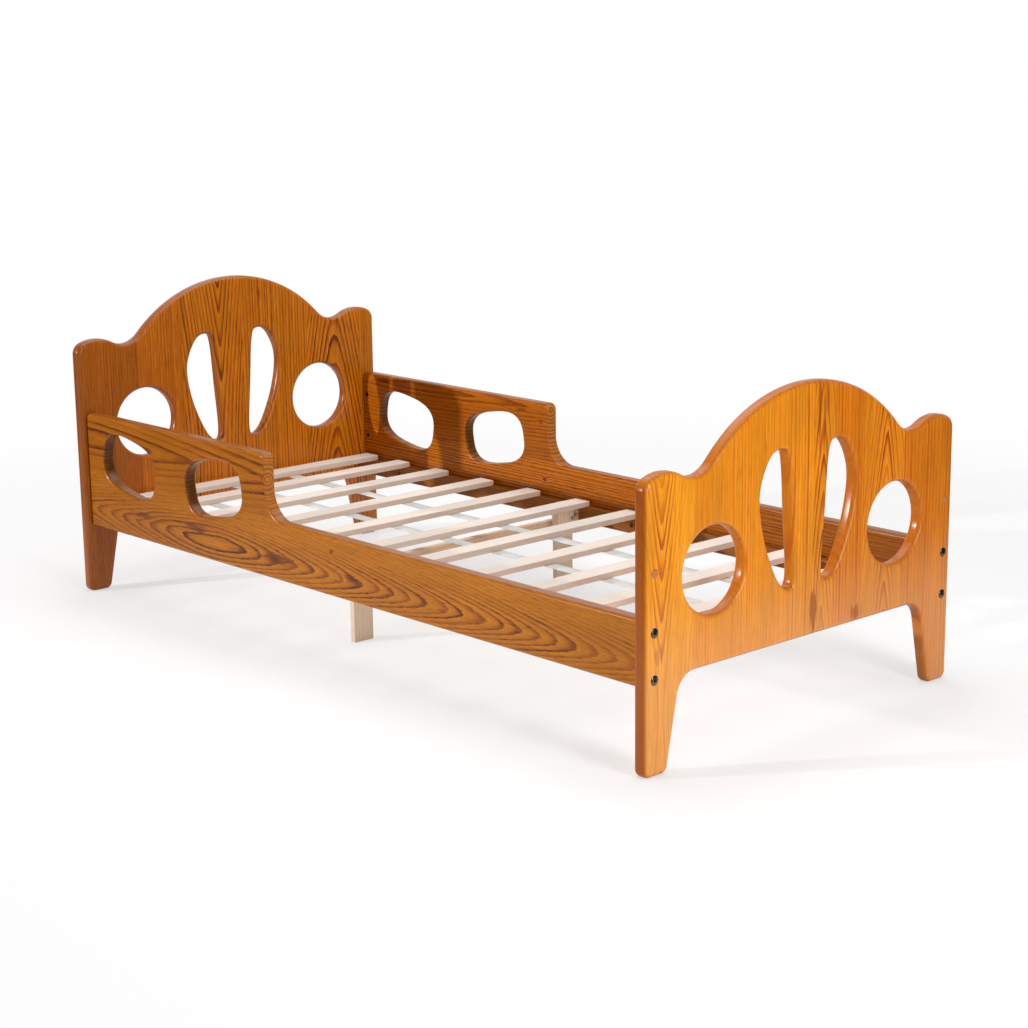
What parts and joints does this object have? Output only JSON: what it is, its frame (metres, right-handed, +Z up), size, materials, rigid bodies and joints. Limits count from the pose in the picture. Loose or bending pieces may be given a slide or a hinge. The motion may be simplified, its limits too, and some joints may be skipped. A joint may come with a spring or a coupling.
{
  "type": "child's bed frame",
  "caption": "Low child's bed frame in stained pine with arched head and foot boards pierced by round and leaf shapes, guard rails at the head end and a lift-out slatted base.",
  "frame": {"origin": "on the floor, in the middle of the bed's length and width", "axes": "+X from the head board to the foot board, +Y from the front rail to the back rail, +Z up"},
  "size_m": [1.6618, 0.784, 0.6362],
  "materials": {
    "board_pine": "amber stained pine in glued staves, gloss varnish",
    "rail_pine": "brown stained pine with bold figure and knots, gloss varnish",
    "ledger_pine": "dark stained pine, satin",
    "slat_pine": "bare planed pine",
    "support_pine": "bare planed pine",
    "plug_pine": "stained end grain",
    "webbing": "woven off-white tape",
    "dark_steel": "bronzed steel",
    "screw_steel": "blackened steel"
  },
  "bodies": {
    "frame": {"headboard": "board_pine", "footboard": "board_pine", "front_rail": "rail_pine", "back_rail": "rail_pine", "front_ledger": "ledger_pine", "back_ledger_head": "ledger_pine", "back_ledger_foot": "ledger_pine", "support_beam": "support_pine", "support_leg_front": "support_pine", "support_leg_back": "support_pine", "support_block": "support_pine", "head_front_low_bolt": "dark_steel", "head_front_middle_bolt": "dark_steel", "head_front_top_bolt": "dark_steel", "head_back_low_bolt": "dark_steel", "head_back_middle_bolt": "dark_steel", "head_back_top_bolt": "dark_steel", "foot_front_low_bolt": "dark_steel", "foot_front_middle_bolt": "dark_steel", "foot_back_low_bolt": "dark_steel", "foot_back_middle_bolt": "dark_steel", "head_front_low_nut": "dark_steel", "head_front_middle_nut": "dark_steel", "head_front_top_nut": "dark_steel", "head_back_low_nut": "dark_steel", "head_back_middle_nut": "dark_steel", "head_back_top_nut": "dark_steel", "foot_front_low_nut": "dark_steel", "foot_front_middle_nut": "dark_steel", "foot_back_low_nut": "dark_steel", "foot_back_middle_nut": "dark_steel", "foot_front_plug": "plug_pine", "foot_back_plug": "plug_pine", "front_ledger_screw_1": "screw_steel", "front_ledger_screw_2": "screw_steel", "back_ledger_head_screw_1": "screw_steel", "back_ledger_head_screw_2": "screw_steel", "back_ledger_foot_screw_1": "screw_steel", "back_ledger_foot_screw_2": "screw_steel", "block_screw_1": "screw_steel", "block_screw_2": "screw_steel", "beam_screw_front": "screw_steel", "beam_screw_back": "screw_steel"},
    "slat_base": {"slat_01": "slat_pine", "slat_02": "slat_pine", "slat_03": "slat_pine", "slat_04": "slat_pine", "slat_05": "slat_pine", "slat_06": "slat_pine", "slat_07": "slat_pine", "slat_08": "slat_pine", "slat_09": "slat_pine", "slat_10": "slat_pine", "slat_11": "slat_pine", "tape_front": "webbing", "tape_middle": "webbing", "tape_back": "webbing"}
  },
  "joints": [
    {"name": "slat_base_lift", "type": "slide", "parent": "frame", "child": "slat_base", "axis": [0, 0, 1], "range_m": [0, 0.45]}
  ]
}
